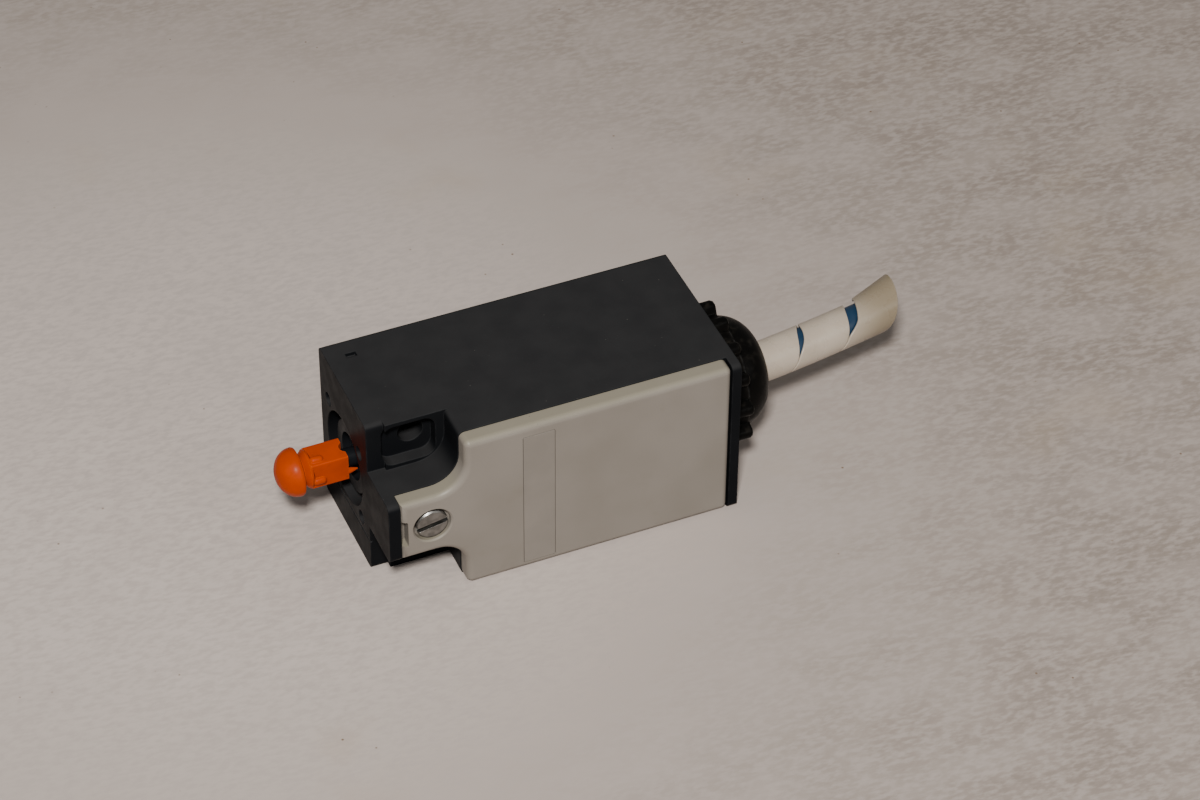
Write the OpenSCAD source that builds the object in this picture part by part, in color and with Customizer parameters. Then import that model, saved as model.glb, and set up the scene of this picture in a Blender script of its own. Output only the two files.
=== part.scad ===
// Insulated limit switch, 31 mm wide class, without its operating head.
// It lies on one long side: +X runs from the head end to the cable end,
// -Y faces the front cover and +Z is up.
// Modules are drawn in the body frame: X from the head-end face, depth from the
// mounting face towards the cover, Z from the lower side. place() then moves the
// origin to the middle of the two mounting holes on the mounting face.

/* [Body] */
// Length of the moulded body, head end to cable end
body_l = 61; // [60:0.5:64]
// Width of the body across the mounting holes
body_w = 31; // [30.5:0.5:33]
// Depth of the body with its cover
body_d = 31; // [30.5:0.5:33]
// Length of the two notches beside the neck
notch_l = 13; // [12.5:0.5:13.5]
// Width of the neck that carries the cover screw
neck_w = 12; // [11:0.5:13]
// Height of the notch floor above the mounting face
notch_d = 22.2; // [22:0.1:22.6]

/* [Mounting] */
// Distance between the two mounting holes
hole_pitch = 22; // [22:0.5:22.5]
// Diameter of the mounting holes
hole_dia = 4.3; // [4.2:0.1:4.5]
// Distance of the mounting holes from the head-end face
hole_x = 8; // [7.8:0.1:8.4]

/* [Head end] */
// Distance of the plunger axis from the mounting face
axis_d = 10.75; // [10.5:0.25:11]
// Diameter of the locating bore for an operating head
bore_dia = 16; // [15.5:0.5:16.5]
// Side of the square pattern of head fixing holes
head_pitch = 14; // [13.8:0.1:14.2]
// Diameter of the head fixing holes
head_hole_dia = 2.5; // [2.2:0.1:2.6]

/* [Plunger] */
// How far the plunger stands out of the head-end face
plunger_reach = 12; // [11:0.5:13]
// Full travel of the plunger
plunger_travel = 5.5; // [5:0.1:5.5]
// Diameter of the plunger's domed cap
cap_dia = 8.2; // [8:0.1:8.6]

/* [Cable entry] */
// Diameter of the domed gland nut
gland_dia = 19.4; // [19:0.2:19.8]
// How far the gland nut stands out of the body
gland_reach = 10.2; // [9.8:0.2:10.6]
// Number of grip lobes on each side of the gland's ring
lobe_count = 6; // [4:1:6]
// Diameter of the cable sheath
cable_dia = 6; // [5.8:0.1:6.2]
// Thickness of the spiral wrap on the cable
wrap_t = 0.5; // [0.4:0.05:0.6]

/* [Hidden] */
$fn = 48;
slop = 0.1;                      // gap between pieces that are pushed together
axis_z = body_w / 2;
wall = 2;
parting_d = body_d - 2.9;        // where cover and housing meet
flange_d = 21.5;                 // depth of the head flange
flange_l = 3;
lip_l = 2;                       // head-end lip in front of the cover
end_wall = 1.6;                  // strip of housing beside the cover at the cable end
parting_gap = 0.02;              // cover above the housing's rim
edge_r = 1;
lip_r = 1.2;                     // rounding of the lip and the end strip at the front
notch_r = 5;                     // concave corner between neck and shoulders
neck_z0 = axis_z - neck_w / 2;
neck_z1 = axis_z + neck_w / 2;
cavity_x0 = 14.5;
cavity_x1 = body_l - 2.5;
head_bore_l = 3.2;
passage_dia = 12;
gland_d = body_d / 2;
thread_dia = 20;                 // cable entry, M20
gasket_t = 0.6;
gasket_w = 0.8;
gasket_inset = 0.7;              // gasket from the edge of the T-shaped plan
pocket = [2.5, 11.5, 0.8, 8.8];  // mounting screw pocket, X from-to and Z from-to
pocket_r = 2;
pocket_floor_d = notch_d - 2.2;
strip = [23, 28.4, 1.5, body_w - 2.3]; // marking strip, X from-to and Z from-to
strip_seat_t = 0.2;

// cover screw
screw_x = 7.4;
screw_head_dia = 5.4;
screw_head_l = 1.2;
screw_recess_dia = 6.4;
screw_recess_l = 1.3;
screw_boss_dia = screw_recess_dia + 2.4;
screw_dia = 3;
screw_slot_angle = -10;
insert_dia = 4.6;
insert_l = 7;

// contact block, stations along X at rest
base_x0 = 16.3;
base_x1 = 44.5;
base_z0 = 3;
base_z1 = body_w - 3;
base_floor_d0 = 2.2;
base_floor_d1 = 5.2;
base_top_d = 19;
roof_d = 14;
channel_w = 9;
carrier_x0 = 18.4;
carrier_w = 8.4;
carrier_t = 8;
metal_t = 0.8;
tip_t = 0.6;
tip_dia = 3;
tip_offset = 8;                  // contact points from the plunger axis
bridge_h = 4;
bridge_l = 21;
nc_travel = 3;
no_travel = 3.5;
touch_gap = 0.02;                // left between pieces that meet at the end of a travel
nc_lost = plunger_travel - nc_travel;
nc_window_x0 = carrier_x0 + 2;
nc_bridge_x = nc_window_x0 + nc_lost + touch_gap;
nc_spring_l = 4;
nc_window_x1 = nc_bridge_x + metal_t + nc_spring_l;
no_window_x0 = nc_window_x1 + 1.5;
no_spring_l = 5;
no_bridge_x = no_window_x0 + no_spring_l;
no_window_x1 = no_bridge_x + metal_t;
carrier_x1 = no_window_x1 + 1.5;
nc_plate_x = nc_bridge_x - 2 * tip_t - metal_t;
no_plate_x = no_bridge_x + metal_t + 2 * tip_t + no_travel;
pad_l = 8;
pad_w = 6.6;
terminal_offset = 8.5;           // terminal screws from the plunger axis
terminal_dia = 2.9;
clamp_side = 6;
clamp_t = 0.9;
strand_dia = 1.2;
wire_dia = 1.8;
wire_ends = [29.6, 41];          // where the insulation stops, NC and NO side
base_screw_x = base_x1 + 2.2;
base_screw_z = 6;
base_screw_dia = 1.6;
base_foot_l = 4.4;               // foot behind the block, screwed to the housing
base_foot_t = 1.6;
limb_w = 5;                      // upright limb of a fixed contact

// return spring and plunger stations
stem_dia = 3.2;
collar_x = 5.7;
collar_l = 1;
bush_x0 = 1;
bush_x1 = 4.4;
spring_x0 = collar_x + collar_l;
spring_x1 = base_x0;
block_side = 5;
block_x0 = 5.7 - plunger_reach;
block_x1 = -0.3;
stem_x0 = block_x1 - 3.6;        // the stem ends inside the plunger's block

// points of a path given as [x, depth, z] from the middle of the cable entry
function from_entry(p) = [for (q = p) [body_l + q[0], -gland_d - q[1], axis_z + q[2]]];
// the same from the top of a terminal pad, with x in the body frame
function from_pad(p) = [for (q = p) [q[0], -base_top_d - metal_t - q[1], axis_z - terminal_offset + q[2]]];

// middle of the sheath: straight through the gland, then bending back towards the mounting face
sheath_path = from_entry([[-10, 0, 0], [-5, 0, 0], [0, 0, 0], [5, 0, 0], [10, 0, 0], [16, -0.7, 0],
                          [22, -1.7, 0], [28, -2.7, 0], [34, -3.8, 0]]);
ring_x0 = body_l + 0.6;
ring_x1 = body_l + 4;
nut_x0 = ring_x1 + 0.4;
seal_x0 = body_l + 0.2;
seal_dia = 15.2;
wrap_x0 = body_l + gland_reach - 3;
wrap_x1 = body_l + 39;
wrap_pitch = 9.9;
wrap_gap = 0.5;
wrap_seam_x = body_l + 16.2;     // where the first visible seam crosses the front

// wires on the lower side, from the sheath's end to the terminal pads
wire_no_path = concat(from_entry([[-10.2, -1, -1], [-11.2, -1, -1],
                                  [-12.5, 0.6, -2.7], [-14.5, 3.1, -5.3]]),
                      from_pad([[wire_ends[1] + 3, 0.3, 0.8], [wire_ends[1] + 1, 0.4, 0],
                                [wire_ends[1], 0.4, 0]]));
wire_nc_path = concat(from_entry([[-10.2, 1, -1], [-11.2, 1, -1],
                                  [-12.5, 3.2, -1.5], [-15, 6.9, -1.9]]),
                      from_pad([[42, 4.8, 6.6], [37.5, 5, 6.4], [34, 4, 4.6], [32, 1.8, 1.8],
                                [wire_ends[0] + 0.8, 0.4, 0], [wire_ends[0], 0.4, 0]]));

// ---------- frame and shape helpers ----------

module place() {
    translate([-hole_x, 0, -axis_z]) children();
}

// box between two stations on each axis of the body frame
module block(x0, x1, d0, d1, z0, z1) {
    translate([x0, -d1, z0]) cube([x1 - x0, d1 - d0, z1 - z0]);
}

// flat shape in the X-Z plane, thickened from depth d0 to d1
module slab(d0, d1) {
    translate([0, -d0, 0]) rotate([90, 0, 0]) linear_extrude(d1 - d0) children();
}

// flat shape drawn as [-depth, z], drawn out along X
module bar(x0, x1) {
    translate([x0, 0, 0]) rotate([0, 90, 0]) rotate([0, 0, 90]) linear_extrude(x1 - x0) children();
}

module rod_x(x0, x1, dia, d = axis_d, z = axis_z) {
    translate([x0, -d, z]) rotate([0, 90, 0]) cylinder(d = dia, h = x1 - x0);
}

module rod_y(d0, d1, dia, x, z) {
    translate([x, -d0, z]) rotate([90, 0, 0]) cylinder(d = dia, h = d1 - d0);
}

// solid of revolution about the plunger axis; the outline is [radius, x]
module turned_x(outline, d = axis_d, z = axis_z) {
    translate([0, -d, z]) rotate([0, 90, 0]) rotate_extrude() polygon(outline);
}

module ring_x(x0, x1, outer, inner, d = axis_d, z = axis_z) {
    difference() {
        rod_x(x0, x1, outer, d, z);
        rod_x(x0 - 1, x1 + 1, inner, d, z);
    }
}

// the mirror image on the upper side of the plunger axis
module upper_side() {
    translate([0, 0, body_w]) mirror([0, 0, 1]) children();
}

module both_sides() {
    children();
    upper_side() children();
}

module rounded_rect(x0, x1, z0, z1, r) {
    translate([x0 + r, z0]) square([x1 - x0 - 2 * r, z1 - z0]);
    translate([x0, z0 + r]) square([x1 - x0, z1 - z0 - 2 * r]);
    for (x = [x0 + r, x1 - r], z = [z0 + r, z1 - r])
        translate([x, z]) circle(r);
}

// T-shaped plan of body and cover, drawn in from the edge by inset
module t_plan(x0, x1, inset) {
    r = notch_r + inset;
    shoulder = notch_l + inset;
    translate([x0, neck_z0 + inset]) square([shoulder - x0 + edge_r + 1, neck_w - 2 * inset]);
    rounded_rect(shoulder, x1, inset, body_w - inset, edge_r);
    for (side = [-1, 1])
        translate([shoulder, axis_z + side * (neck_w / 2 - inset)])
            difference() {
                translate([-r, side > 0 ? 0 : -r]) square([r + 0.5, r]);
                translate([-r, side * r]) circle(r);
            }
}

// ---------- swept tubes and springs ----------

function unit(v) = v / norm(v);
function on_spline(p, i, t) =
    let (n = len(p) - 1, a = p[max(i - 1, 0)], b = p[i], c = p[min(i + 1, n)], e = p[min(i + 2, n)])
    0.5 * (2 * b + (c - a) * t + (2 * a - 5 * b + 4 * c - e) * t * t + (3 * b - a - 3 * c + e) * t * t * t);
function spline(p, steps) =
    concat([for (i = [0 : len(p) - 2], s = [0 : steps - 1]) on_spline(p, i, s / steps)], [p[len(p) - 1]]);
function heading(p, i) = unit(p[min(i + 1, len(p) - 1)] - p[max(i - 1, 0)]);
function side_of(t) = unit(cross(t, [0, 1, 0]));

// rings of points are joined into one closed solid
module skin(rings) {
    m = len(rings[0]);
    n = len(rings);
    sides = [for (i = [0 : n - 2], k = [0 : m - 1])
        [i * m + k, i * m + (k + 1) % m, (i + 1) * m + (k + 1) % m, (i + 1) * m + k]];
    ends = [[for (k = [m - 1 : -1 : 0]) k], [for (k = [0 : m - 1]) (n - 1) * m + k]];
    polyhedron(points = [for (r = rings, q = r) q], faces = concat(sides, ends));
}

module tube(path, dia, sides) {
    rings = [for (i = [0 : len(path) - 1])
        let (t = heading(path, i), u = side_of(t), v = cross(t, u))
        [for (k = [0 : sides - 1])
            path[i] + dia / 2 * (cos(360 * k / sides) * u + sin(360 * k / sides) * v)]];
    skin(rings);
}

// helical spring about an axis along X, its wire wound from x0 to x1
module coil_spring(x0, x1, mean_dia, wire, turns, d = axis_d, z = axis_z) {
    steps = 14 * turns;
    run = x1 - x0 - wire;
    path = [for (i = [0 : steps])
        [x0 + wire / 2 + run * i / steps,
         -d + mean_dia / 2 * cos(360 * turns * i / steps),
         z + mean_dia / 2 * sin(360 * turns * i / steps)]];
    rings = [for (i = [0 : steps])
        let (out = unit([0, path[i][1] + d, path[i][2] - z]))
        [for (k = [0 : 5]) path[i] + wire / 2 * (cos(60 * k) * out + sin(60 * k) * [1, 0, 0])]];
    skin(rings);
}

// ---------- housing ----------

module housing_outside() {
    bar(0, body_l) rounded_rect(-flange_d, 0, 0, body_w, edge_r);
    block(flange_l, body_l, edge_r, notch_d, 0, body_w);
    slab(flange_d - 1, parting_d) t_plan(0, body_l, 0);
    block(cavity_x0, body_l, edge_r, parting_d, 0, body_w);
    bar(0, lip_l) rounded_rect(-body_d, -parting_d + 2, neck_z0, neck_z1, lip_r);
    bar(body_l - end_wall, body_l) rounded_rect(-body_d, -parting_d + 2, 0, body_w, lip_r);
}

module housing_cavity() {
    block(cavity_x0, cavity_x1, wall, parting_d + 1, wall, body_w - wall);
}

// pocket beside the neck that takes a mounting screw's head
module mounting_hole() {
    slab(pocket_floor_d, notch_d + 1) rounded_rect(pocket[0], pocket[1], pocket[2], pocket[3], pocket_r);
    rod_y(-1, notch_d + 1, hole_dia, hole_x, axis_z - hole_pitch / 2);
}

module head_fixing_holes() {
    depth = 5.5;
    for (side_d = [-1, 1], side_z = [-1, 1])
        rod_x(-1, depth, head_hole_dia, axis_d + side_d * head_pitch / 2, axis_z + side_z * head_pitch / 2);
}

// small key slot for the head, in the upper side
module head_key_slot() {
    slab(3.6, 4.6) rounded_rect(3.2, 5, body_w - 0.7, body_w + 1, 0.4);
}

// shallow groove across the head-end face
module head_groove() {
    block(-1, 0.3, 3, flange_d + 1, 6, 6.4);
}

// closed band that follows the T-shaped plan under the cover's rim
module gasket_plan() {
    x0 = lip_l + 0.5;
    x1 = cavity_x1 + 0.2;
    difference() {
        t_plan(x0, x1, gasket_inset);
        t_plan(x0 + gasket_w, x1 - gasket_w, gasket_inset + gasket_w);
    }
}

module housing() {
    color([0.10, 0.11, 0.13]) difference() {
        housing_outside();
        housing_cavity();
        both_sides() mounting_hole();
        head_fixing_holes();
        rod_x(-1, head_bore_l, bore_dia);
        rod_x(0, cavity_x0 + 1, passage_dia);
        rod_x(cavity_x1 - 1, body_l + 1, thread_dia, gland_d);
        rod_y(parting_d - insert_l, parting_d + 1, insert_dia, screw_x, axis_z);
        slab(parting_d - gasket_t, parting_d + 1) gasket_plan();
        head_groove();
        head_key_slot();
        // pilot holes for the contact block's screws
        both_sides() rod_y(wall - 1.2, wall + 1, base_screw_dia, base_screw_x, base_screw_z);
    }
}

module screw_insert() {
    color([0.78, 0.62, 0.28]) difference() {
        rod_y(parting_d - insert_l, parting_d - 0.2, insert_dia, screw_x, axis_z);
        rod_y(parting_d - insert_l - 1, parting_d + 1, screw_dia + 0.1, screw_x, axis_z);
    }
}

module cover_gasket() {
    color([0.13, 0.13, 0.13]) slab(parting_d - gasket_t, parting_d) gasket_plan();
}

// ---------- plunger ----------

// flanged ring in the head bore; the plunger's block slides in it
module guide_bush() {
    bore = 7.4;
    mouth = [8.2, 1.4];
    color([0.20, 0.21, 0.22]) difference() {
        union() {
            rod_x(bush_x0, head_bore_l, passage_dia + 0.6);
            rod_x(head_bore_l, bush_x1, passage_dia - slop);
        }
        rod_x(bush_x0 - 1, bush_x0 + mouth[1], mouth[0]);
        rod_x(bush_x0 - 1, bush_x1 + 1, bore);
    }
}

// rubber diaphragm: its rim sits behind the bush, its middle rides on the stem
module plunger_seal() {
    r = stem_dia / 2;
    rim = passage_dia / 2 - slop / 2;
    color([0.07, 0.07, 0.07]) turned_x([
        [r, bush_x1 + 0.6], [rim - 1.15, bush_x1], [rim, bush_x1], [rim, bush_x1 + 0.8],
        [rim - 1.05, bush_x1 + 0.8], [rim - 1.25, bush_x1 + 0.45], [r + 0.9, bush_x1 + 0.85],
        [r + 0.7, collar_x], [r, collar_x]]);
}

module plunger_cap() {
    r = cap_dia / 2;
    neck_r = 2.4;
    half = block_side / 2;
    tip = -plunger_reach;
    dome_l = 3.4;
    rim_x = tip + dome_l + 0.4;
    dome = [for (a = [0 : 10 : 90]) [r * cos(a), tip + dome_l * (1 - sin(a))]];
    color([0.93, 0.38, 0.05]) difference() {
        union() {
            turned_x(concat([[0, rim_x + 0.1], [0, block_x0], [neck_r + 0.7, block_x0],
                             [neck_r + 0.9, block_x0 - 0.5], [neck_r, block_x0 - 1.3], [neck_r, rim_x + 0.5],
                             [r - 0.4, rim_x + 0.3], [r, rim_x]],
                            dome));
            block(block_x0 - 0.2, block_x1, axis_d - half, axis_d + half, axis_z - half, axis_z + half);
            block_prong();
            // two small pegs where the collar meets the block
            for (side_d = [-1, 1])
                translate([block_x0 + 0.6, -axis_d - side_d * 1.3, axis_z + half])
                    sphere(d = 1.2);
        }
        rod_x(stem_x0, 2, stem_dia);
        // rounded bite through the block's inner end
        translate([block_x1 + 0.6, -axis_d, axis_z - half - 1]) cylinder(d = 2.6, h = block_side + 2);
    }
}

// pointed prong on the front edge of the block's inner end
module block_prong() {
    corner = block_side / 2 - 0.5;
    translate([block_x1, -axis_d - corner, axis_z - corner / 2])
        rotate([0, 90, 0]) cylinder(d1 = 1, d2 = 0.3, h = 1.8);
}

module plunger_stem() {
    collar_dia = 9;
    color([0.16, 0.17, 0.19]) union() {
        rod_x(stem_x0, carrier_x0, stem_dia);
        rod_x(collar_x, spring_x0, collar_dia);
    }
}

module return_spring() {
    color([0.75, 0.76, 0.78]) coil_spring(spring_x0, spring_x1, 7, 0.6, 5);
}

// ---------- contact block ----------

module contact_base() {
    color([0.16, 0.16, 0.15]) difference() {
        union() {
            block(base_x0, base_x1, base_floor_d0, base_floor_d1, base_z0, base_z1);
            block(base_x1 - 1, base_x1 + base_foot_l,
                  base_floor_d0, base_floor_d0 + base_foot_t, base_z0, base_z1);
            both_sides() base_side_wall();
            block(base_x0, base_x0 + 1.7, base_floor_d0, base_top_d, base_z0, base_z1);
        }
        base_window(base_x0 + 3.3, nc_window_x1 + 0.5);
        base_window(no_bridge_x - 1.2, no_plate_x + metal_t + 1.3);
        both_sides() {
            fixed_contact_slots();
            terminal_screw_holes();
            rod_y(0, 6, base_screw_dia + 0.6, base_screw_x, base_screw_z);
        }
        rod_x(base_x0 - 1, base_x0 + 3, stem_dia + 0.2);
    }
}

module base_side_wall() {
    block(base_x0, base_x1, base_floor_d1 - 1, base_top_d, base_z0, axis_z - channel_w / 2);
}

// opening through both side walls where a bridge meets its fixed contacts
module base_window(x0, x1) {
    block(x0, x1, base_floor_d1, roof_d, base_z0 - 1, base_z1 + 1);
}

module fixed_contact_slots() {
    half = limb_w / 2 + slop / 2;
    for (x = [nc_plate_x, no_plate_x])
        block(x - slop / 2, x + metal_t + slop / 2, roof_d - 1, base_top_d + 1,
              axis_z - tip_offset - half, axis_z - tip_offset + half);
}

module terminal_screw_holes() {
    for (x = terminal_xs())
        rod_y(roof_d, base_top_d + 1, terminal_dia, x, axis_z - terminal_offset);
}

function terminal_xs() = [nc_plate_x + pad_l / 2, no_plate_x + metal_t - pad_l / 2];

module contact_lid() {
    half = channel_w / 2 + 0.5;
    color([0.30, 0.30, 0.29]) difference() {
        slab(base_top_d, base_top_d + 1.4)
            rounded_rect(base_x0, base_x1, axis_z - half, axis_z + half, 0.5);
        // mould relief along the middle
        slab(base_top_d + 1, base_top_d + 2)
            rounded_rect(base_x0 + 2, base_x1 - 2, axis_z - half / 2, axis_z + half / 2, 0.5);
    }
}

module contact_base_screws() {
    head_d0 = base_floor_d0 + base_foot_t;
    head_d1 = head_d0 + 1.2;
    head_dia = 3.6;
    color([0.72, 0.73, 0.74]) both_sides() difference() {
        union() {
            rod_y(wall - 1, head_d0 + 0.1, base_screw_dia, base_screw_x, base_screw_z);
            rod_y(head_d0, head_d1, head_dia, base_screw_x, base_screw_z);
        }
        // driver slot
        block(base_screw_x - head_dia, base_screw_x + head_dia, head_d1 - 0.6, head_d1 + 1,
              base_screw_z - 0.3, base_screw_z + 0.3);
    }
}

module contact_carrier() {
    half_w = carrier_w / 2;
    half_t = carrier_t / 2;
    window_half = bridge_h / 2 + 0.6;
    color([0.82, 0.80, 0.74]) difference() {
        block(carrier_x0, carrier_x1, axis_d - half_t, axis_d + half_t, axis_z - half_w, axis_z + half_w);
        for (span = [[nc_window_x0, nc_window_x1], [no_window_x0, no_window_x1]])
            block(span[0], span[1], axis_d - window_half, axis_d + window_half,
                  axis_z - half_w - 1, axis_z + half_w + 1);
    }
}

// fixed contact: an upright limb that carries the tip, and a pad under the terminal screw
module fixed_contact(plate_x, pad_x0) {
    pad_z0 = axis_z - terminal_offset - pad_w / 2;
    color([0.80, 0.63, 0.30]) difference() {
        union() {
            block(plate_x, plate_x + metal_t, axis_d - 2.2, base_top_d + metal_t,
                  axis_z - tip_offset - limb_w / 2, axis_z - tip_offset + limb_w / 2);
            block(pad_x0, pad_x0 + pad_l, base_top_d, base_top_d + metal_t, pad_z0, pad_z0 + pad_w);
        }
        rod_y(base_top_d - 1, base_top_d + 2, terminal_dia, pad_x0 + pad_l / 2, axis_z - terminal_offset);
    }
}

module terminal_nc() {
    fixed_contact(nc_plate_x, nc_plate_x);
}

module terminal_no() {
    fixed_contact(no_plate_x, no_plate_x + metal_t - pad_l);
}

module fixed_contact_tips() {
    color([0.85, 0.85, 0.83]) both_sides() {
        rod_x(nc_plate_x + metal_t, nc_bridge_x - tip_t, tip_dia, axis_d, axis_z - tip_offset);
        rod_x(no_plate_x - tip_t, no_plate_x, tip_dia, axis_d, axis_z - tip_offset);
    }
}

module terminal_clamps() {
    lift = base_top_d + metal_t + strand_dia;
    half = clamp_side / 2;
    color([0.70, 0.71, 0.72]) both_sides() for (x = terminal_xs())
        difference() {
            slab(lift, lift + clamp_t)
                rounded_rect(x - half, x + half,
                             axis_z - terminal_offset - half, axis_z - terminal_offset + half, 0.6);
            rod_y(lift - 1, lift + 2, terminal_dia + slop, x, axis_z - terminal_offset);
        }
}

module terminal_screws() {
    head_d = base_top_d + metal_t + strand_dia + clamp_t;
    head_l = 2;
    head_dia = 5.2;
    color([0.74, 0.75, 0.76]) both_sides() for (x = terminal_xs())
        difference() {
            union() {
                rod_y(roof_d + 0.4, head_d + 0.1, terminal_dia - slop, x, axis_z - terminal_offset);
                rod_y(head_d, head_d + head_l, head_dia, x, axis_z - terminal_offset);
            }
            // cross recess
            for (turn = [45, 135])
                translate([x, -head_d - head_l, axis_z - terminal_offset]) rotate([0, turn, 0])
                    cube([3.4, 2, 0.8], center = true);
        }
}

// ---------- moving bridges ----------

module bridge(x) {
    color([0.84, 0.68, 0.36]) block(x, x + metal_t, axis_d - bridge_h / 2, axis_d + bridge_h / 2,
                                    axis_z - bridge_l / 2, axis_z + bridge_l / 2);
}

module bridge_tips(x) {
    color([0.88, 0.88, 0.86]) both_sides() rod_x(x, x + tip_t, tip_dia, axis_d, axis_z - tip_offset);
}

module nc_bridge() {
    bridge(nc_bridge_x);
}

module nc_bridge_tips() {
    bridge_tips(nc_bridge_x - tip_t);
}

module no_bridge() {
    bridge(no_bridge_x);
}

module no_bridge_tips() {
    bridge_tips(no_bridge_x + metal_t);
}

module nc_contact_spring() {
    color([0.75, 0.76, 0.78]) coil_spring(nc_bridge_x + metal_t, nc_window_x1, 3.6, 0.4, 4);
}

module no_contact_spring() {
    color([0.75, 0.76, 0.78]) coil_spring(no_window_x0, no_bridge_x, 3.6, 0.4, 4);
}

// ---------- cable entry ----------

module gland_washer() {
    color([0.09, 0.09, 0.09]) ring_x(body_l, ring_x0, 25, thread_dia - slop, gland_d);
}

// threaded shank and a grip ring outside the body, with an arc of lobes on each side
module gland_body() {
    lobe_dia = 2.4;
    lobe_pitch_r = 12.1;
    first_lobe = -14;
    lobe_step = 24.6;
    color([0.06, 0.06, 0.06]) difference() {
        union() {
            rod_x(body_l - 8.4, ring_x1, thread_dia - 2 * slop, gland_d);
            rod_x(ring_x1 - 1, nut_x0, gland_dia - 1.4, gland_d);
            rod_x(ring_x0, ring_x1, 2 * (lobe_pitch_r - 0.7), gland_d);
            for (side = [0, 180], i = [0 : lobe_count - 1])
                let (a = side + first_lobe + lobe_step * i)
                rod_x(ring_x0, ring_x1, lobe_dia,
                      gland_d + lobe_pitch_r * cos(a), axis_z + lobe_pitch_r * sin(a));
        }
        rod_x(body_l - 9, seal_x0, 13, gland_d);
        rod_x(seal_x0 - 0.2, nut_x0 + 2, seal_dia + 0.2, gland_d);
    }
}

module gland_locknut() {
    across_corners = 25.4;
    thickness = 3.6;
    color([0.08, 0.08, 0.08]) difference() {
        translate([cavity_x1 - thickness, -gland_d, axis_z]) rotate([0, 90, 0])
            cylinder(d = across_corners, h = thickness, $fn = 6);
        rod_x(cavity_x1 - 5, cavity_x1 + 1, thread_dia, gland_d);
    }
}

module gland_seal() {
    color([0.20, 0.20, 0.20]) ring_x(seal_x0, seal_x0 + 6.2, seal_dia, cable_dia, gland_d);
}

// domed nut; its mouth is a little wider than the wrapped cable
module gland_nut() {
    r = gland_dia / 2;
    round_r = 6.1;
    seat_r = seal_dia / 2 + 0.15;
    mouth_r = 4.2;
    x1 = body_l + gland_reach;
    dome_x = x1 - round_r;
    dome = [for (a = [5 : 10 : 75]) [r - round_r + round_r * cos(a), dome_x + round_r * sin(a)]];
    mouth = [[mouth_r + 0.4, x1 - 0.1], [mouth_r, x1 - 0.5], [mouth_r, x1 - 2], [seat_r, x1 - 2.8]];
    color([0.05, 0.05, 0.05])
        turned_x(concat([[seat_r, nut_x0], [r - 0.1, nut_x0]], dome, mouth), gland_d);
}

module cable_sheath() {
    color([0.10, 0.35, 0.62]) tube(spline(sheath_path, 3), cable_dia, 24);
}

// the wrap is a flat ribbon wound round the sheath, trimmed square where it enters the gland
module cable_wrap() {
    axis = spline(sheath_path, 6);
    ribbon = wrap_pitch - wrap_gap;
    inner = cable_dia / 2 + 0.08;
    first = 1 + (wrap_x0 + 0.6 - ribbon - wrap_seam_x) / wrap_pitch;
    last = 1 + (wrap_x1 - ribbon - wrap_seam_x) / wrap_pitch;
    steps = ceil(24 * (last - first));
    function left(turn) = wrap_seam_x + wrap_pitch * (turn - 1);
    function point(x, r, turn) =
        let (t = heading_at(axis, x), u = side_of(t), v = cross(t, u))
        axis_at(axis, x) + r * (cos(360 * turn) * v + sin(360 * turn) * u);
    rings = [for (i = [0 : steps])
        let (turn = first + (last - first) * i / steps,
             x0 = max(wrap_x0, left(turn)), x1 = left(turn) + ribbon)
        concat([for (k = [0 : 2]) point(x0 + (x1 - x0) * k / 2, inner + wrap_t, turn)],
               [for (k = [2 : -1 : 0]) point(x0 + (x1 - x0) * k / 2, inner, turn)])];
    color([0.90, 0.89, 0.84]) skin(rings);
}

// point and heading of a path at station x
function segment_at(p, x) = max([for (k = [0 : len(p) - 2]) p[k][0] <= x ? k : 0]);
function axis_at(p, x) =
    let (i = segment_at(p, x), t = (x - p[i][0]) / (p[i + 1][0] - p[i][0]))
    p[i] + (p[i + 1] - p[i]) * t;
function heading_at(p, x) =
    let (i = segment_at(p, x), t = (x - p[i][0]) / (p[i + 1][0] - p[i][0]))
    unit(heading(p, i) * (1 - t) + heading(p, i + 1) * t);

module wire(path, shade) {
    color(shade) tube(spline(path, 4), wire_dia, 8);
}

function upper_path(p) = [for (q = p) [q[0], q[1], body_w - q[2]]];

module wire_strands() {
    d = base_top_d + metal_t + strand_dia / 2;
    color([0.80, 0.45, 0.25]) both_sides() for (i = [0, 1])
        rod_x(terminal_xs()[i] + terminal_dia / 2, wire_ends[i] - slop, strand_dia,
              d, axis_z - terminal_offset);
}

// ---------- cover ----------

module front_cover() {
    x0 = lip_l + slop;
    x1 = body_l - end_wall - slop;
    rim_d = parting_d + parting_gap;
    front_t = 1.5;
    skirt_t = 1.6;
    color([0.76, 0.75, 0.70]) difference() {
        union() {
            slab(rim_d, body_d) t_plan(x0, x1, 0.15);
            rod_y(rim_d, body_d, screw_boss_dia, screw_x, axis_z);
        }
        difference() {
            slab(parting_d - 1, body_d - front_t) t_plan(x0 + skirt_t, x1 - skirt_t, skirt_t + 0.2);
            rod_y(parting_d - 1, body_d, screw_boss_dia, screw_x, axis_z);
        }
        rod_y(body_d - screw_recess_l, body_d + 1, screw_recess_dia, screw_x, axis_z);
        rod_y(parting_d - 1, body_d + 1, screw_dia + 0.2, screw_x, axis_z);
        // lever slot beside the lip
        block(x0 - 1, x0 + 1.1, body_d - 2, body_d + 1, axis_z - 3.1, axis_z + 2.1);
        // shallow seat of the marking strip
        block(strip[0] - slop, strip[1] + slop, body_d - strip_seat_t, body_d + 1,
              strip[2] - slop, strip[3] + slop);
    }
}

module marking_strip() {
    color([0.78, 0.77, 0.72])
        slab(body_d - strip_seat_t, body_d + 0.05) rounded_rect(strip[0], strip[1], strip[2], strip[3], 0.2);
}

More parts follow.
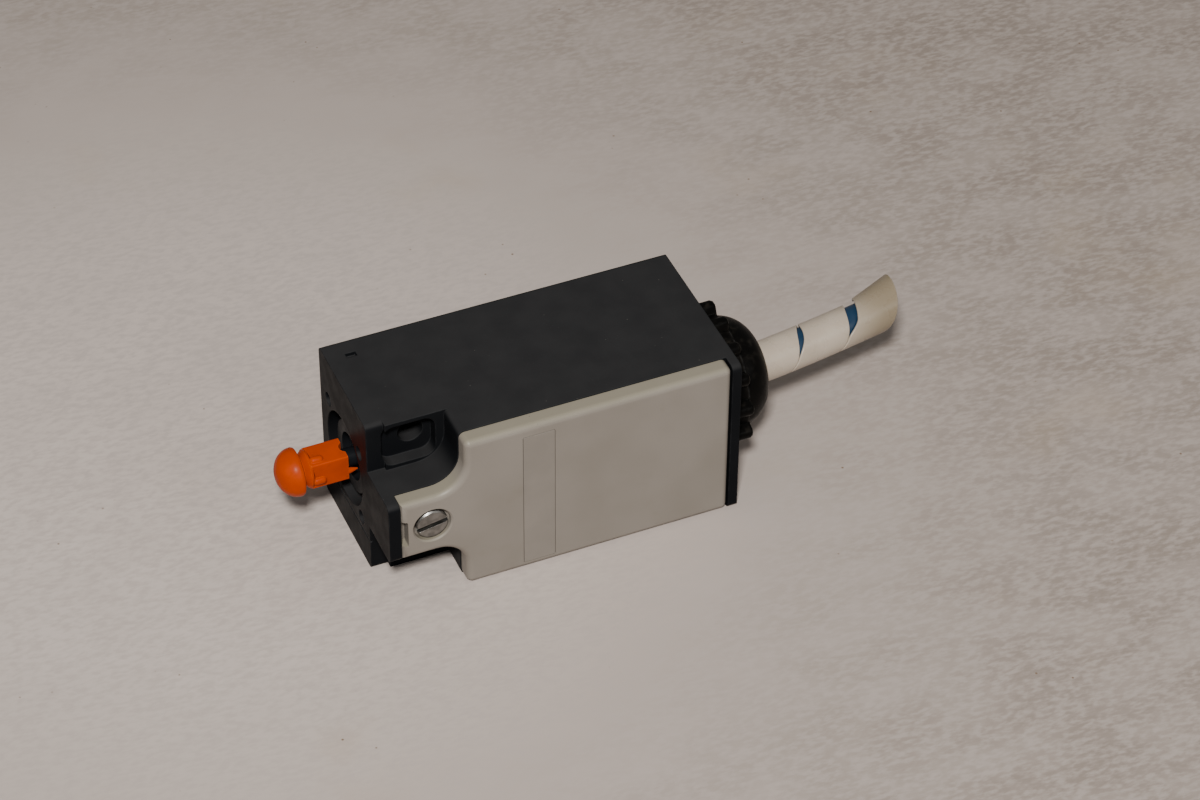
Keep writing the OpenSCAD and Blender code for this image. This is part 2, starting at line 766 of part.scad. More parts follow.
// washer that keeps the loosened screw in the cover
module screw_retainer() {
    color([0.15, 0.15, 0.15]) difference() {
        rod_y(parting_d - slop, parting_d + parting_gap, 4.4, screw_x, axis_z);
        rod_y(parting_d - 1, parting_d + 1, screw_dia + slop, screw_x, axis_z);
    }
}

module cover_screw() {
    head_d = body_d - screw_recess_l;
    slot_w = 0.8;
    color([0.78, 0.79, 0.80]) difference() {
        union() {
            rod_y(parting_d - insert_l + 0.6, head_d + 0.1, screw_dia, screw_x, axis_z);
            rod_y(head_d, head_d + screw_head_l, screw_head_dia, screw_x, axis_z);
        }
        translate([screw_x, -head_d - screw_head_l - 0.3, axis_z]) rotate([0, screw_slot_angle, 0])
            cube([screw_head_dia + 1, 2, slot_w], center = true);
    }
}

// ---------- nodes ----------

place() housing();
place() screw_insert();
place() cover_gasket();
place() guide_bush();
place() plunger_seal();
place() plunger_cap();
place() plunger_stem();
place() return_spring();
place() contact_base();
place() contact_lid();
place() contact_base_screws();
place() contact_carrier();
place() terminal_nc();  // terminal_11
place() upper_side() terminal_nc();  // terminal_12
place() terminal_no();  // terminal_23
place() upper_side() terminal_no();  // terminal_24
place() fixed_contact_tips();
place() terminal_clamps();
place() terminal_screws();
place() nc_bridge();
place() nc_bridge_tips();
place() nc_contact_spring();
place() no_bridge();
place() no_bridge_tips();
place() no_contact_spring();
place() gland_washer();
place() gland_body();
place() gland_locknut();
place() gland_seal();
place() gland_nut();
place() cable_sheath();
place() cable_wrap();
place() wire(wire_nc_path, "brown");  // wire_11
place() wire(upper_path(wire_nc_path), "black");  // wire_12
place() wire(wire_no_path, "lightblue");  // wire_23
place() wire(upper_path(wire_no_path), "grey");  // wire_24
place() wire_strands();
place() front_cover();
place() marking_strip();
place() screw_retainer();
place() cover_screw();
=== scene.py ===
import math

import bmesh
import bpy
from mathutils import Matrix, Vector


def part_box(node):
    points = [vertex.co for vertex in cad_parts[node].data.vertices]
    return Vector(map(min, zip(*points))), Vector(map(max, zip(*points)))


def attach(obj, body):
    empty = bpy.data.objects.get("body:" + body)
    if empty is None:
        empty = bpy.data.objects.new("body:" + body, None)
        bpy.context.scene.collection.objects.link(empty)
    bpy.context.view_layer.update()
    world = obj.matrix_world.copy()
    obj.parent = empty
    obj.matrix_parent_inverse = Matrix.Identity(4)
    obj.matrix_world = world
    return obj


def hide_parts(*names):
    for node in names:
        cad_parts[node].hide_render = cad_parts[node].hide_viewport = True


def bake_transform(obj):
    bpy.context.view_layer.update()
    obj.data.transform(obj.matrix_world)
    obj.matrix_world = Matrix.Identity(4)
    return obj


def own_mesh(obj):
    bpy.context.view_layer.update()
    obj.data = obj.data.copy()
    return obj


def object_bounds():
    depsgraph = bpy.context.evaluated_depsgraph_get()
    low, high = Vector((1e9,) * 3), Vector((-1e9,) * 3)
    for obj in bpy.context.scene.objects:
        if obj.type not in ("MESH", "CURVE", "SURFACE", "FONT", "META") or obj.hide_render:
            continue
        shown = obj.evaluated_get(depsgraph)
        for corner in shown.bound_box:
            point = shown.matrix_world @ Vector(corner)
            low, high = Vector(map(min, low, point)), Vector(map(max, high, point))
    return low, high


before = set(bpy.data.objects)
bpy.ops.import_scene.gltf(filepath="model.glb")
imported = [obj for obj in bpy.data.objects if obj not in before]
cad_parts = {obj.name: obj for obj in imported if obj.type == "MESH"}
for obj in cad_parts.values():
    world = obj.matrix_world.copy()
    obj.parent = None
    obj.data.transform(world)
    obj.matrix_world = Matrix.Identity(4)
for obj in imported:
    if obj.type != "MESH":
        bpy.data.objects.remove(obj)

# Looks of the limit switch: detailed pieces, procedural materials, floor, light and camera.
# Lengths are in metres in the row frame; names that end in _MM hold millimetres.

CAD_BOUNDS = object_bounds()
MM = 0.001
HOUSING_LO, HOUSING_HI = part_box("housing")
COVER_LO, COVER_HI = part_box("front_cover")
FLOOR_Z = HOUSING_LO.z
UP = Vector((0, 0, 1))


# ---------- meshes ----------

def solid(name, *skins):
    """One clean mesh object from skins, each a pair of points and faces."""
    verts, faces = [], []
    for points, polygons in skins:
        faces += [[i + len(verts) for i in polygon] for polygon in polygons]
        verts += points
    mesh = bpy.data.meshes.new(name)
    mesh.from_pydata(verts, [], faces)
    work = bmesh.new()
    work.from_mesh(mesh)
    bmesh.ops.remove_doubles(work, verts=work.verts, dist=1e-7)
    bmesh.ops.recalc_face_normals(work, faces=work.faces)
    work.to_mesh(mesh)
    work.free()
    obj = bpy.data.objects.new(name, mesh)
    bpy.context.scene.collection.objects.link(obj)
    return obj


def loft(rings, capped=True):
    """Skin over equal rings of points."""
    count = len(rings[0])
    faces = []
    for i in range(len(rings) - 1):
        for k in range(count):
            after = (k + 1) % count
            faces.append([i * count + k, i * count + after, (i + 1) * count + after, (i + 1) * count + k])
    if capped:
        faces.append(list(range(count)))
        faces.append([(len(rings) - 1) * count + k for k in range(count)])
    return [point for ring in rings for point in ring], faces


def lathe(profile_mm, centre, axis="x", steps=96):
    """Skin of revolution about +X or -Y; the profile is [(radius, distance along the axis)]."""
    rings = []
    for radius, along in profile_mm:
        ring = []
        for k in range(steps):
            angle = math.tau * k / steps
            u, v = radius * math.cos(angle), radius * math.sin(angle)
            offset = (along, u, v) if axis == "x" else (u, -along, v)
            ring.append(centre + Vector(offset) * MM)
        rings.append(ring)
    return loft(rings, capped=False)


def arc(centre, radius, start_deg, end_deg, steps=6):
    """Points on an arc as (u, v) pairs."""
    angles = [math.radians(start_deg + (end_deg - start_deg) * k / steps) for k in range(steps + 1)]
    return [(centre[0] + radius * math.cos(a), centre[1] + radius * math.sin(a)) for a in angles]


def rounded_box(lo, hi, radius):
    """Box with rounded edges along Y, as a skin in the row frame."""
    corners = [(hi.x - radius, hi.z - radius, 0), (lo.x + radius, hi.z - radius, 90),
               (lo.x + radius, lo.z + radius, 180), (hi.x - radius, lo.z + radius, 270)]
    outline = [p for x, z, turn in corners for p in arc((x, z), radius, turn, turn + 90)]
    return loft([[Vector((u, y, v)) for u, v in outline] for y in (lo.y, hi.y)])


def sweep(points, radius, sides=12):
    """Round tube along a path of points."""
    rings = []
    side = None
    for i, point in enumerate(points):
        along = (points[min(i + 1, len(points) - 1)] - points[max(i - 1, 0)]).normalized()
        side = along.orthogonal() if side is None else side - along * side.dot(along)
        side.normalize()
        over = along.cross(side)
        angles = [math.tau * k / sides for k in range(sides)]
        rings.append([point + (side * math.cos(a) + over * math.sin(a)) * radius for a in angles])
    return loft(rings)


def carve(obj, *cutters, operation="DIFFERENCE"):
    """Applies exact booleans and deletes the cutters."""
    for cutter in cutters:
        modifier = obj.modifiers.new("carve", "BOOLEAN")
        modifier.operation = operation
        modifier.solver = "EXACT"
        modifier.object = cutter
    carved = bpy.data.meshes.new_from_object(obj.evaluated_get(bpy.context.evaluated_depsgraph_get()))
    obj.modifiers.clear()
    obj.data = carved
    for cutter in cutters:
        bpy.data.objects.remove(cutter)


def round_edges(obj, width_mm, segments=2, angle_deg=38):
    """Small rounding on every edge sharper than the angle."""
    bevel = obj.modifiers.new("edge rounding", "BEVEL")
    bevel.width = width_mm * MM
    bevel.segments = segments
    bevel.limit_method = "ANGLE"
    bevel.angle_limit = math.radians(angle_deg)
    bevel.use_clamp_overlap = True
    weighted = obj.modifiers.new("flat faces stay flat", "WEIGHTED_NORMAL")
    weighted.keep_sharp = True


def paint(obj, material):
    obj.data.materials.clear()
    obj.data.materials.append(material)


def dress(obj, body, slot, material, *nodes, sharp_deg=35):
    """Finishes a new piece: shading, material, the body it rides on and the CAD nodes it stands for."""
    obj.data.shade_smooth()
    obj.data.set_sharp_from_angle(angle=math.radians(sharp_deg))
    paint(obj, material)
    if body:
        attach(obj, body)
    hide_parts(*nodes)
    return obj


def dress_node(node, material, rounding_mm):
    """A CAD node shown as it is, with merged flat faces and edges softened by rounding_mm."""
    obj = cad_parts[node]
    weld = obj.modifiers.new("weld", "WELD")
    weld.merge_threshold = 1e-6
    flat = obj.modifiers.new("merge flat faces", "DECIMATE")
    flat.decimate_type = "DISSOLVE"
    flat.angle_limit = math.radians(0.5)
    round_edges(obj, rounding_mm)
    paint(obj, material)


# ---------- material kit ----------

class Look:
    """A material being wired: coordinates, textures and masks that feed one Principled shader."""

    def __init__(self, name):
        self.material = bpy.data.materials.new(name)
        self.material.use_nodes = True
        self.tree = self.material.node_tree
        self.shader = self.tree.nodes["Principled BSDF"]
        self.place = self.add("ShaderNodeTexCoord").outputs["Object"]
        self.normal = None

    def add(self, kind, inputs=None, **settings):
        node = self.tree.nodes.new(kind)
        for name, value in settings.items():
            setattr(node, name, value)
        for name, value in (inputs or {}).items():
            self.feed(node.inputs[name], value)
        return node

    def feed(self, socket, value):
        if isinstance(value, bpy.types.NodeSocket):
            self.tree.links.new(value, socket)
        else:
            socket.default_value = value

    def set(self, **inputs):
        """Shader inputs by name, with underscores for spaces."""
        for name, value in inputs.items():
            self.feed(self.shader.inputs[name.replace("_", " ")], value)

    def noise(self, size_mm, detail=3.0, scale=(1, 1, 1), turn_deg=0.0):
        """Noise between 0 and 1 with features about size_mm across, turned about Z."""
        inputs = {"Vector": self.place, "Scale": scale, "Rotation": (0, 0, math.radians(turn_deg))}
        place = self.add("ShaderNodeMapping", inputs).outputs["Vector"]
        inputs = {"Vector": place, "Scale": 1 / (size_mm * MM), "Detail": detail}
        return self.add("ShaderNodeTexNoise", inputs).outputs["Fac"]

    def cells(self, size_mm):
        """Distance from scattered points about size_mm apart, in cell widths."""
        inputs = {"Vector": self.place, "Scale": 1 / (size_mm * MM)}
        return self.add("ShaderNodeTexVoronoi", inputs).outputs["Distance"]

    def distance(self, point):
        """Distance in metres from a point."""
        node = self.add("ShaderNodeVectorMath", operation="DISTANCE")
        self.feed(node.inputs[0], self.place)
        self.feed(node.inputs[1], point)
        return node.outputs["Value"]

    def ramp(self, value, low, high, bottom=0.0, top=1.0):
        """Smooth step from bottom at low to top at high."""
        inputs = {"Value": value, "From Min": low, "From Max": high, "To Min": bottom, "To Max": top}
        return self.add("ShaderNodeMapRange", inputs, interpolation_type="SMOOTHSTEP").outputs["Result"]

    def math(self, operation, a, b=0.0):
        node = self.add("ShaderNodeMath", operation=operation)
        self.feed(node.inputs[0], a)
        self.feed(node.inputs[1], b)
        return node.outputs["Value"]

    def mix(self, factor, a, b):
        node = self.add("ShaderNodeMix", data_type="RGBA")
        self.feed(node.inputs[0], factor)
        self.feed(node.inputs[6], colour(a))
        self.feed(node.inputs[7], colour(b))
        return node.outputs[2]

    def bump(self, height, depth_mm, strength=1.0):
        """Adds relief on top of what is there."""
        inputs = {"Height": height, "Distance": depth_mm * MM, "Strength": strength}
        if self.normal:
            inputs["Normal"] = self.normal
        self.normal = self.add("ShaderNodeBump", inputs).outputs["Normal"]
        self.feed(self.shader.inputs["Normal"], self.normal)

    def soften(self, radius_mm):
        """Shades every edge as if it were rounded."""
        inputs = {"Radius": radius_mm * MM}
        self.normal = self.add("ShaderNodeBevel", inputs, samples=8).outputs["Normal"]

    def edges(self, radius_mm, low=0.02, high=0.25):
        """Mask that is 1 on outer and inner edges."""
        soft = self.add("ShaderNodeBevel", {"Radius": radius_mm * MM}, samples=6).outputs["Normal"]
        plain = self.add("ShaderNodeNewGeometry").outputs["Normal"]
        dot = self.add("ShaderNodeVectorMath", operation="DOT_PRODUCT")
        self.feed(dot.inputs[0], soft)
        self.feed(dot.inputs[1], plain)
        return self.ramp(self.math("SUBTRACT", 1.0, dot.outputs["Value"]), low, high)

    def facing(self, direction):
        """How squarely the surface faces a direction, from 0 to 1."""
        normal = self.add("ShaderNodeNewGeometry").outputs["Normal"]
        dot = self.add("ShaderNodeVectorMath", operation="DOT_PRODUCT")
        self.feed(dot.inputs[0], normal)
        self.feed(dot.inputs[1], direction)
        return self.ramp(dot.outputs["Value"], 0.3, 0.9)


def colour(value):
    """A colour given as three numbers gets its fourth."""
    return (*value, 1.0) if isinstance(value, tuple) and len(value) == 3 else value


def lighter(base, amount):
    return tuple(c + (1 - c) * amount for c in base)


def darker(base, amount):
    return tuple(c * (1 - amount) for c in base)


def plastic(name, base, roughness, wear=0.3, shine=0.5):
    """Moulded plastic: drifting tone, fine mould grain and rubbed edges."""
    look = Look(name)
    tone = look.mix(look.ramp(look.noise(9, 4), 0.3, 0.7), darker(base, 0.14), base)
    rubbed = look.math("MULTIPLY", look.edges(0.25), look.ramp(look.noise(1.5), 0.35, 0.7, 0.0, wear))
    tone = look.mix(rubbed, tone, lighter(base, 0.25))
    smudge = look.ramp(look.noise(3, 4), 0.3, 0.7, roughness - 0.07, roughness + 0.07)
    look.set(Base_Color=tone, Roughness=smudge, Specular_IOR_Level=shine)
    look.bump(look.noise(0.25, 2), 0.01, 0.6)
    return look.material


def metal(name, base, roughness, grain=(1, 1, 14), tarnish=0.25):
    """Plated metal: brushed streaks, dull patches and bright rubbed edges."""
    look = Look(name)
    patches = look.ramp(look.noise(1.2, 4), 0.35, 0.7)
    tone = look.mix(patches, darker(base, tarnish), base)
    tone = look.mix(look.edges(0.12), tone, lighter(base, 0.35))
    streaks = look.noise(0.5, 3, scale=grain)
    matte = look.ramp(streaks, 0.3, 0.7, roughness - 0.08, roughness + 0.1)
    look.set(Base_Color=tone, Metallic=1.0, Roughness=matte)
    look.bump(streaks, 0.004, 0.5)
    return look.material


def rubber(name, base):
    """Matte rubber with a fine skin and pale dust in patches."""
    look = Look(name)
    tone = look.mix(look.ramp(look.noise(2.5, 5), 0.4, 0.8), base, lighter(base, 0.06))
    tone = look.mix(look.edges(0.3), tone, lighter(base, 0.1))
    look.set(Base_Color=tone, Roughness=look.ramp(look.noise(1.0), 0.3, 0.7, 0.6, 0.8))
    look.bump(look.noise(0.2, 2), 0.02, 0.5)
    return look.material


def housing_plastic():
    """Near-black plastic: fine eroded grain, greyed on faces that point up."""
    look = Look("housing plastic")
    base = (0.0060, 0.0066, 0.0078)
    tone = look.mix(look.ramp(look.noise(14, 5), 0.3, 0.7), base, lighter(base, 0.003))
    # Mask of faces that point up; these faces get a lighter grey tone, grain dots and pale specks.
    faces_up = look.facing(UP)
    grey = look.math("MULTIPLY", faces_up, look.ramp(look.noise(5, 6), 0.25, 0.75, 0.75, 1.0))
    tone = look.mix(grey, tone, (0.0250, 0.0250, 0.0258))
    rubbed = look.math("MULTIPLY", look.edges(0.35), look.ramp(look.noise(1.2, 4), 0.4, 0.7, 0.1, 0.7))
    tone = look.mix(rubbed, tone, (0.035, 0.036, 0.039))
    dots = look.ramp(look.cells(0.55), 0.06, 0.16, 1.0, 0.0)
    grain = look.math("MULTIPLY", dots, look.math("MULTIPLY", faces_up, look.ramp(look.noise(3, 5), 0.4, 0.7)))
    tone = look.mix(look.math("MULTIPLY", grain, 0.30), tone, (0.06, 0.06, 0.058))
    specks = look.math("MULTIPLY", look.ramp(look.cells(2.6), 0.02, 0.045, 1.0, 0.0), faces_up)
    tone = look.mix(look.math("MULTIPLY", specks, 0.35), tone, (0.16, 0.15, 0.13))
    matte = look.ramp(look.noise(3, 4), 0.3, 0.7, 0.34, 0.44)
    look.set(Base_Color=tone, Roughness=look.math("ADD", matte, look.math("MULTIPLY", grey, 0.22)))
    look.set(Specular_IOR_Level=0.02)
    look.soften(0.35)
    look.bump(look.noise(0.3, 3), 0.03, 0.5)
    look.bump(look.noise(7, 2), 0.05, 0.25)
    return look.material


def cover_plastic():
    """Warm light grey plastic with dirt along its rim, small marks and fine scratches."""
    look = Look("cover plastic")
    base = (0.224, 0.199, 0.170)
    tone = look.mix(look.ramp(look.noise(16, 5), 0.3, 0.7), darker(base, 0.07), lighter(base, 0.02))
    yellowed = look.math("MULTIPLY", look.facing(UP), 0.8)
    tone = look.mix(yellowed, tone, (0.235, 0.212, 0.158))
    stains = look.ramp(look.noise(5, 7), 0.56, 0.8, 0.0, 0.35)
    tone = look.mix(stains, tone, (0.18, 0.155, 0.118))
    rim = look.math("MULTIPLY", look.edges(0.8, 0.05, 0.5), look.ramp(look.noise(2, 5), 0.45, 0.75, 0.0, 0.4))
    tone = look.mix(rim, tone, (0.125, 0.112, 0.088))
    scratches = look.ramp(look.noise(0.5, 2, scale=(1, 1, 0.05)), 0.73, 0.78, 0.0, 0.3)
    tone = look.mix(scratches, tone, (0.145, 0.128, 0.108))
    specks = look.ramp(look.cells(5.5), 0.010, 0.022, 0.75, 0.0)
    tone = look.mix(specks, tone, (0.08, 0.065, 0.05))
    look.set(Base_Color=tone, Roughness=look.ramp(look.noise(4, 4), 0.3, 0.7, 0.42, 0.56))
    look.set(Specular_IOR_Level=0.4)
    look.bump(look.noise(0.28, 3), 0.015, 0.4)
    look.bump(look.noise(12, 2), 0.05, 0.2)
    return look.material


def wrap_plastic():
    """Off-white polyethylene ribbon: glossy, a little see-through, yellowed and smudged in places."""
    look = Look("wrap plastic")
    base = (0.47, 0.398, 0.318)
    tone = look.mix(look.ramp(look.noise(6, 4), 0.3, 0.7), darker(base, 0.08), lighter(base, 0.04))
    free_end = look.distance((CAD_BOUNDS[1].x, cable_axis(CAD_BOUNDS[1].x).y, 0))
    aged = look.ramp(free_end, 5 * MM, 15 * MM, 0.9, 0.0)
    tone = look.mix(aged, tone, (0.22, 0.175, 0.112))
    smudges = look.ramp(look.noise(2.6, 6), 0.62, 0.76, 0.0, 0.7)
    tone = look.mix(look.math("MULTIPLY", smudges, look.math("ADD", aged, 0.15)), tone, (0.22, 0.19, 0.10))
    tone = look.mix(look.edges(0.3), tone, (0.58, 0.52, 0.43))
    look.set(Base_Color=tone, Roughness=look.ramp(look.noise(2.5, 4), 0.3, 0.7, 0.24, 0.40))
    look.set(Subsurface_Weight=0.12, Subsurface_Radius=(1.0, 0.8, 0.6), Subsurface_Scale=0.5 * MM)
    look.bump(look.noise(2.5, 3), 0.05, 0.35)
    look.bump(look.noise(0.4, 2, scale=(0.2, 1, 1)), 0.01, 0.3)
    return look.material


def plunger_plastic():
    """Strong orange, slightly waxy, with fine mould flow and dulled patches."""
    look = Look("plunger plastic")
    base = (0.46, 0.046, 0.0)
    tone = look.mix(look.ramp(look.noise(3, 5), 0.3, 0.7), darker(base, 0.16), base)
    tone = look.mix(look.edges(0.25), tone, (0.58, 0.095, 0.004))
    grime = look.ramp(look.noise(1.4, 6), 0.60, 0.78, 0.0, 0.35)
    tone = look.mix(grime, tone, (0.18, 0.032, 0.003))
    look.set(Base_Color=tone, Roughness=look.ramp(look.noise(1.5, 4), 0.3, 0.7, 0.32, 0.48))
    look.set(Specular_IOR_Level=0.08)
    look.bump(look.noise(0.5, 3), 0.02, 0.4)
    return look.material


def gland_plastic():
    """Black polyamide, glossy on the dome, with scuffs and a little brown dust."""
    look = Look("gland plastic")
    base = (0.0028, 0.0026, 0.0024)
    tone = look.mix(look.ramp(look.noise(2, 6), 0.5, 0.75), base, (0.006, 0.0056, 0.005))
    rubbed = look.math("MULTIPLY", look.edges(0.3), look.ramp(look.noise(0.9), 0.35, 0.65, 0.1, 0.6))
    tone = look.mix(rubbed, tone, (0.03, 0.03, 0.029))
    dust = look.math("MULTIPLY", look.facing(UP), look.ramp(look.noise(1.6, 6), 0.5, 0.72, 0.0, 0.35))
    tone = look.mix(dust, tone, (0.03, 0.026, 0.021))
    look.set(Base_Color=tone, Roughness=look.ramp(look.noise(1.5, 5), 0.3, 0.7, 0.26, 0.44))
    look.set(Specular_IOR_Level=0.05)
    look.bump(look.noise(0.5, 3), 0.02, 0.5)
    return look.material


def sheath_plastic():
    """Blue cable sheath with faint drawing lines along it."""
    look = Look("sheath plastic")
    base = (0.006, 0.033, 0.076)
    tone = look.mix(look.ramp(look.noise(3, 4), 0.3, 0.7), darker(base, 0.2), base)
    tone = look.mix(look.edges(0.3), tone, lighter(base, 0.1))
    look.set(Base_Color=tone, Roughness=look.ramp(look.noise(1.5), 0.3, 0.7, 0.32, 0.5))
    look.bump(look.noise(0.4, 2, scale=(0.1, 1, 1)), 0.02, 0.5)
    return look.material


PAPER_GRAIN_DEG = 23


def paper():
    """Pale warm paper with painted light falloff that darkens it away from a point near the switch; slow
    stains, short fibres, small brown specks and soft waves.
    """
    look = Look("paper")
    base = (0.570, 0.497, 0.453)
    tone = look.mix(look.ramp(look.noise(130, 4), 0.3, 0.7), darker(base, 0.06), base)
    # Painted light falloff: the paper is painted darker further from a point near the switch, as the shade
    # where the lamp's light thins out.
    painted_falloff = look.ramp(look.distance(Vector((-0.03, 0.02, FLOOR_Z))), 0.03, 0.17, 0.0, 1.0)
    tone = look.mix(painted_falloff, tone, (0.27, 0.225, 0.193))
    blotches = look.ramp(look.noise(9, 5, scale=(0.6, 1, 1), turn_deg=PAPER_GRAIN_DEG), 0.35, 0.7, 0.0, 0.35)
    tone = look.mix(blotches, tone, darker(base, 0.16))
    fibres = look.noise(0.8, 5, scale=(0.45, 1, 1), turn_deg=PAPER_GRAIN_DEG)
    tone = look.mix(look.ramp(fibres, 0.35, 0.7, 0.0, 0.7), tone, darker(base, 0.24))
    stains = look.ramp(look.noise(26, 7), 0.58, 0.78, 0.0, 0.30)
    tone = look.mix(stains, tone, (0.38, 0.30, 0.22))
    dirty = look.ramp(look.noise(18, 4), 0.56, 0.64)
    specks = look.math("MULTIPLY", look.ramp(look.cells(3.6), 0.03, 0.08, 1.0, 0.0), dirty)
    tone = look.mix(look.math("MULTIPLY", specks, 0.9), tone, (0.17, 0.11, 0.065))
    look.set(Base_Color=tone, Roughness=look.ramp(look.noise(9, 3), 0.3, 0.7, 0.75, 0.9))
    look.set(Specular_IOR_Level=0.3)
    look.bump(fibres, 0.025, 0.5)
    look.bump(look.noise(45, 2), 0.6, 0.25)
    return look.material


# ---------- cover ----------

NECK_W_MM = 12
NOTCH_L_MM = 13
NOTCH_R_MM = 5
COVER_EDGE_MM = 1.1
COVER_INSET = 0.15 * MM
NECK_HALF = NECK_W_MM / 2 * MM - COVER_INSET
SHOULDER_X = HOUSING_LO.x + NOTCH_L_MM * MM + COVER_INSET
CONCAVE_R = NOTCH_R_MM * MM + COVER_INSET
SCREW_LO, SCREW_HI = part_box("cover_screw")
SCREW_X = (SCREW_LO.x + SCREW_HI.x) / 2


def t_outline(inset):
    """T-shaped plan of the cover as (x, z) points, drawn in by inset."""
    neck = NECK_HALF - inset
    shoulder = SHOULDER_X + inset
    concave = CONCAVE_R + inset
    corner = max(1.0 * MM - inset, 0.15 * MM)
    left, right = COVER_LO.x + inset, COVER_HI.x - inset
    half = COVER_HI.z - inset
    lower = [(left, -neck)]
    lower += arc((shoulder - concave, -neck - concave), concave, 90, 0, 10)
    lower += arc((shoulder + corner, -half + corner), corner, 180, 270)
    lower += arc((right - corner, -half + corner), corner, 270, 360)
    return lower + [(x, -z) for x, z in reversed(lower)]


def flat_ring(y, inset):
    return [Vector((x, y, z)) for x, z in t_outline(inset)]


def cover_shell():
    """Shallow tray with a rounded front edge."""
    wall, front = 1.6 * MM, 1.5 * MM
    edge = COVER_EDGE_MM * MM
    rings = [flat_ring(COVER_LO.y + front, wall), flat_ring(COVER_HI.y, wall), flat_ring(COVER_HI.y, 0)]
    for step in range(7):
        turn = math.radians(15 * step)
        rings.append(flat_ring(COVER_LO.y + edge * (1 - math.sin(turn)), edge * (1 - math.cos(turn))))
    return solid("front_cover_shell", loft(rings))


def build_front_cover(material):
    shell = cover_shell()
    face = Vector((SCREW_X, COVER_LO.y, 0))
    boss_r, recess_r, recess_l, bore_r, above = 4.4, 3.2, 1.3, 1.6, 0.5
    boss = solid("boss", lathe([(0, -2.5), (boss_r, -2.5), (boss_r, -0.6), (0, -0.6)], face, "y"))
    carve(shell, boss, operation="UNION")
    chamfer = [(recess_r, -0.25), (recess_r + 0.25, 0.0), (recess_r + 0.25, above)]
    recess = lathe([(0, -recess_l), (recess_r, -recess_l)] + chamfer + [(0, above)], face, "y")
    bore = lathe([(0, -4), (bore_r, -4), (bore_r, above), (0, above)], face, "y", 32)
    strip_lo, strip_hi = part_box("marking_strip")
    gap = Vector((0.1, 0, 0.1)) * MM
    strip_seat = rounded_box(Vector((strip_lo.x, COVER_LO.y - MM, strip_lo.z)) - gap,
                             Vector((strip_hi.x, COVER_LO.y + 0.2 * MM, strip_hi.z)) + gap, 0.3 * MM)
    slot_lo = Vector((COVER_LO.x - MM, COVER_LO.y - MM, -3.1 * MM))
    slot_hi = Vector((COVER_LO.x + 1.1 * MM, COVER_LO.y + 2.0 * MM, 2.1 * MM))
    carve(shell, solid("recess", recess), solid("bore", bore), solid("seat", strip_seat),
          solid("lever", rounded_box(slot_lo, slot_hi, 0.3 * MM)))
    round_edges(shell, 0.06, angle_deg=60)
    return dress(shell, "cover", "cover_plastic", material, "front_cover")


def build_cover_screw(material):
    """Cheese head with a driver slot, a chamfered rim and a threaded shank."""
    face = Vector((SCREW_X, SCREW_LO.y, 0))
    radius = (SCREW_HI.x - SCREW_LO.x) / 2 / MM
    end = (SCREW_HI.y - SCREW_LO.y) / MM
    head_l, shank_r, thread_mm, turn_mm = 1.17, 1.5, 0.18, 0.25
    turns = int((end - head_l - 1) / turn_mm)
    head = [(0, 0), (radius - 0.55, 0), (radius - 0.2, -0.1), (radius, -0.35), (radius, -head_l)]
    thread = [(shank_r - thread_mm * (k % 2), -head_l - 0.4 - turn_mm * k) for k in range(turns)]
    outline = head + [(shank_r, -head_l)] + thread + [(shank_r - 0.5, -end), (0, -end)]
    screw = solid("cover_screw_detail", lathe(outline, face, "y"))
    half = Vector((4, 0, 0.42)) * MM
    top, bottom = Vector((0, -0.4 * MM, 0)), Vector((0, 0.8 * MM, 0))
    slot = solid("slot", rounded_box(top - half, bottom + half, 0.05 * MM))
    slot.matrix_world = Matrix.Translation(face) @ Matrix.Rotation(math.radians(-10), 4, "Y")
    bpy.context.view_layer.update()
    carve(screw, slot)
    round_edges(screw, 0.05)
    return dress(screw, "cover_screw", "zinc_steel", material, "cover_screw")


# ---------- plunger ----------

def build_plunger(material):
    """Domed cap on a short neck, with a square block behind it that has a bitten end and a prong."""
    lo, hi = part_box("plunger_cap")
    tip = Vector((lo.x, (lo.y + hi.y) / 2, (lo.z + hi.z) / 2))
    radius = (hi.z - lo.z) / 2 / MM
    dome_l, neck_r, half = 3.4, 2.4, 2.5
    block_from, block_to = 5.7, 11.7
    turns = [math.radians(6 * k) for k in range(16)]
    dome = [(radius * math.sin(a), dome_l * (1 - math.cos(a))) for a in turns]
    under = [(radius, dome_l + 0.2), (radius - 0.15, dome_l + 0.5), (radius - 0.6, dome_l + 0.65),
             (neck_r + 0.2, dome_l + 0.8), (neck_r, dome_l + 1.0)]
    collar = [(neck_r, block_from - 1.3), (neck_r + 0.5, block_from - 0.9), (neck_r + 0.9, block_from - 0.45),
              (neck_r + 0.8, block_from - 0.1), (neck_r + 0.3, block_from + 0.2), (0, block_from + 0.2)]
    cap = solid("plunger_cap_detail", lathe(dome + under + collar, tip))
    end = tip + Vector((block_to, 0, 0)) * MM
    bar = rounded_bar(tip + Vector((block_from - 0.2, 0, 0)) * MM, end, half * MM, 0.3 * MM)
    carve(cap, solid("block", bar), operation="UNION")
    bite = solid("bite", lathe([(0, -4), (1.3, -4), (1.3, 4), (0, 4)], Vector((0, 0, 0)), "y", 32))
    beyond = Matrix.Translation(end + Vector((0.6 * MM, 0, 0)))
    bite.matrix_world = beyond @ Matrix.Rotation(math.radians(90), 4, "X")
    bpy.context.view_layer.update()
    carve(cap, bite)
    details = []
    for y, z in ((-0.5, 1), (-1, -0.35)):
        start = tip + Vector((block_from + 0.5, y * half, z * half)) * MM
        details.append(solid("lug", capsule(start, start + Vector((1, 0, 0)) * MM, 0.7 * MM)))
    foot = end + Vector((-0.1, -2, -1)) * MM
    point = [(0, 0), (0.55, 0), (0.45, 0.7), (0.12, 1.75), (0, 1.8)]
    details.append(solid("prong", lathe(point, foot, "x", 24)))
    carve(cap, *details, operation="UNION")
    round_edges(cap, 0.08, angle_deg=45)
    return dress(cap, "plunger", "plunger_orange", material, "plunger_cap")


